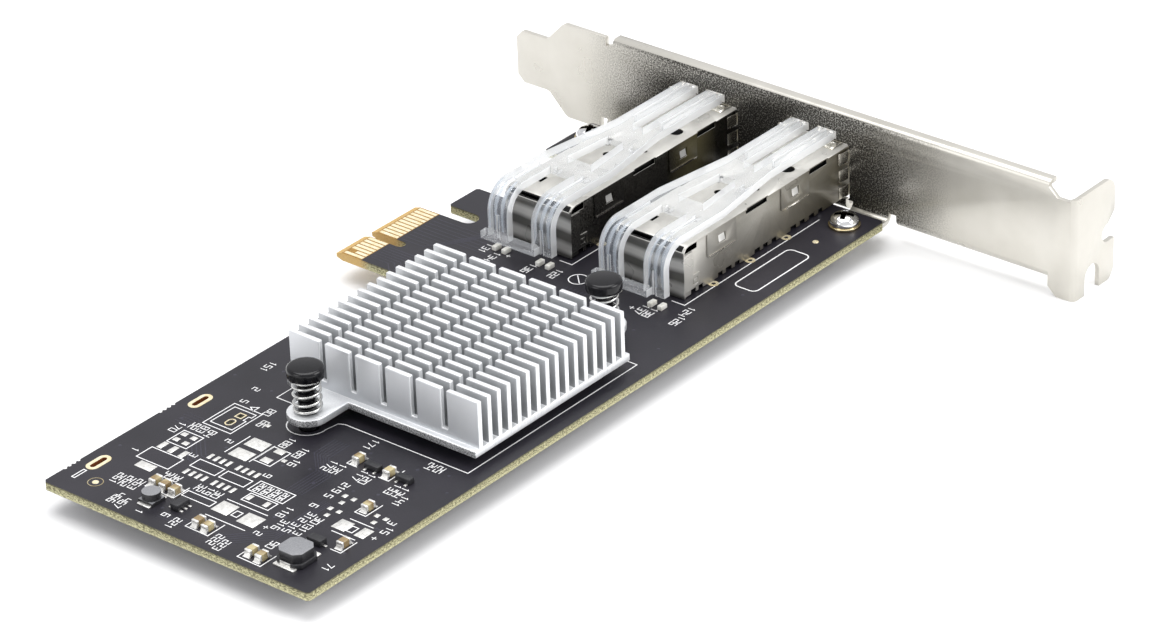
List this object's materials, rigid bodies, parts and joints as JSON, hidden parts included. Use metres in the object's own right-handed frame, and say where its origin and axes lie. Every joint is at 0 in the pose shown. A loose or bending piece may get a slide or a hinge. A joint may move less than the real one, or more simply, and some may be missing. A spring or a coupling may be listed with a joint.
{
  "type": "network interface card",
  "caption": "Low network card with a stepped edge connector, a folded slot bracket, caged module ports with clear light pipes, and a cross-cut heatsink on sprung push pins.",
  "frame": {"origin": "centre of the card's box, at the height of its lowest point, the lower end of the bracket's tab", "axes": "+X out through the bracket, +Y from the tab end of the bracket to its tongue, the way the edge connector points, +Z away from the board on its component side"},
  "size_m": [0.1614, 0.12, 0.0213],
  "materials": {
    "solder_mask": "satin black solder mask over glass-fibre laminate",
    "gold_plate": "smooth gold plate",
    "nickel_steel": "satin nickel plate on folded sheet steel",
    "chrome_plate": "bright plate",
    "yellow_zinc": "bright passivated plate",
    "cast_aluminium": "bare, fine satin",
    "black_nylon": "moulded, satin",
    "spring_wire": "drawn wire",
    "black_epoxy": "moulded, matt",
    "thermal_filler": "soft matt pad",
    "led_lens": "clear lens on white",
    "ceramic": "fired ceramic",
    "tin": "bright solder",
    "ferrite": "ground ferrite",
    "cage_steel": "bright plated sheet",
    "spring_steel": "bright plated spring sheet",
    "clear_polycarbonate": "clear, polished mould"
  },
  "bodies": {
    "root": {"pcb": "solder_mask", "edge_contacts_component_side": "gold_plate", "edge_contacts_solder_side": "gold_plate", "bracket": "nickel_steel", "bracket_screws": "chrome_plate", "bracket_washers": "yellow_zinc", "heatsink": "cast_aluminium", "push_pins": "black_nylon", "push_pin_springs": "spring_wire", "controller_chip": "black_epoxy", "thermal_pad": "thermal_filler", "status_leds": "led_lens", "capacitor_bodies": "ceramic", "capacitor_ends": "tin", "semiconductor_bodies": "black_epoxy", "semiconductor_leads": "tin", "power_inductor_base": "black_epoxy", "power_inductor_core": "ferrite", "power_inductor_terminals": "tin", "small_inductor": "ferrite", "solder_pads": "tin", "cage_base_1": "cage_steel", "cage_cover_1": "cage_steel", "cage_springs_1": "spring_steel", "port_connector_1": "black_nylon", "port_contacts_1": "gold_plate", "light_pipe_1": "clear_polycarbonate", "cage_base_2": "cage_steel", "cage_cover_2": "cage_steel", "cage_springs_2": "spring_steel", "port_connector_2": "black_nylon", "port_contacts_2": "gold_plate", "light_pipe_2": "clear_polycarbonate"}
  },
  "joints": []
}
